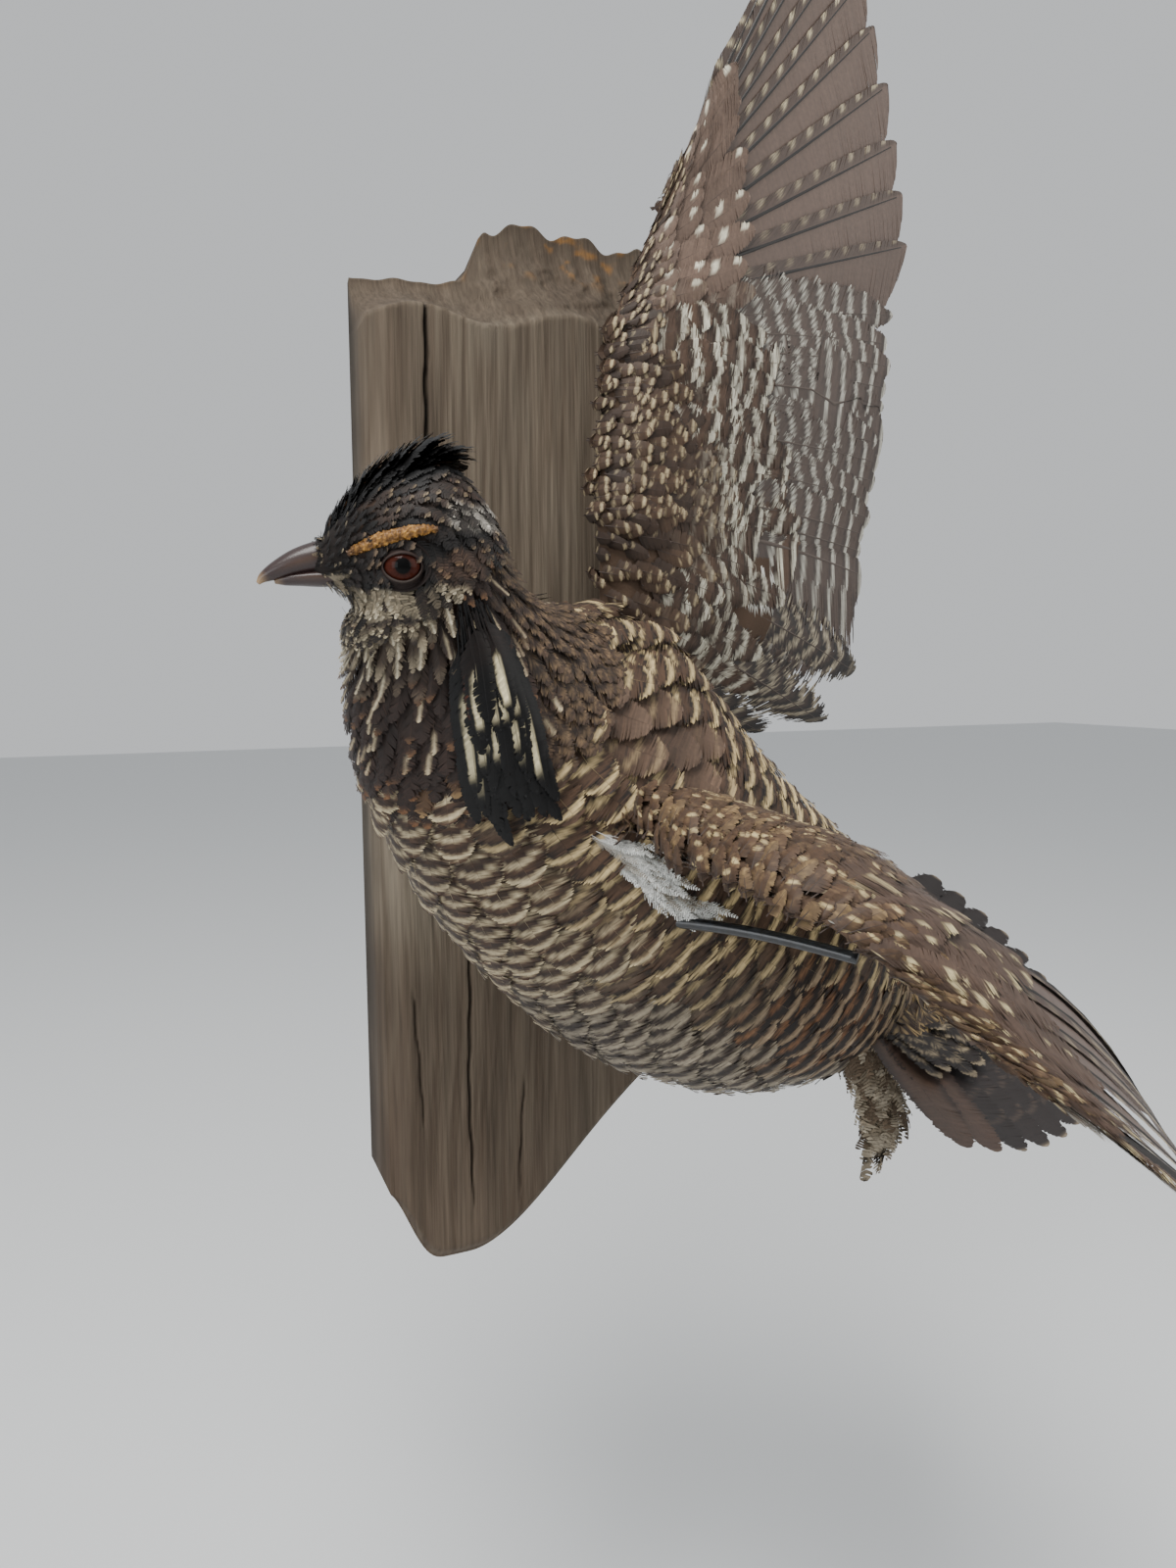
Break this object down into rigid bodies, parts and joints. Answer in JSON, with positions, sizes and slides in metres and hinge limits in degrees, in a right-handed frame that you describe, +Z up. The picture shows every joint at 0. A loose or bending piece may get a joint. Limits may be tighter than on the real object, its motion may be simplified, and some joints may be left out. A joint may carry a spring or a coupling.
{
  "type": "taxidermy prairie chicken",
  "caption": "Still wall mount of a grouse-like bird in a banking flight pose, wings spread and tail fanned, carried by rods on a driftwood slab.",
  "frame": {"origin": "centre of the flat back of the driftwood slab, where it lies on the wall", "axes": "+X to the right along the wall, +Y into the wall, +Z up; the bird is on the -Y side and faces -X"},
  "size_m": [0.3247, 0.3249, 0.5305],
  "materials": {
    "driftwood": "weathered, cracked, raw",
    "steel_rod": "dull drawn rod",
    "plumage": "barred brown and buff body feathers",
    "horn": "polished dark horn",
    "glass_eye": "brown glass eye with a black pupil",
    "comb": "granular orange skin",
    "black_plumes": "stiff black plumes with cream streaks",
    "leg_down": "pale down with barred ends",
    "flight_feathers": "brown vanes with cream bars and spots",
    "tail_feathers": "dark brown vanes with pale tips",
    "black_wire": "black coated wire"
  },
  "bodies": {
    "root": {"plaque": "driftwood", "mount_rod_front": "steel_rod", "mount_rod_rear": "steel_rod", "trunk": "plumage", "neck": "plumage", "head": "plumage", "bill_upper": "horn", "bill_lower": "horn", "eye_left": "glass_eye", "eye_right": "glass_eye", "comb_left": "comb", "comb_right": "comb", "crest": "black_plumes", "pinna_left": "black_plumes", "pinna_right": "black_plumes", "leg_left": "leg_down", "leg_right": "leg_down", "wing_right_inner": "flight_feathers", "wing_right_hand": "flight_feathers", "wing_left_inner": "flight_feathers", "wing_left_hand": "flight_feathers", "tail": "tail_feathers", "wing_strut": "black_wire"}
  },
  "joints": []
}
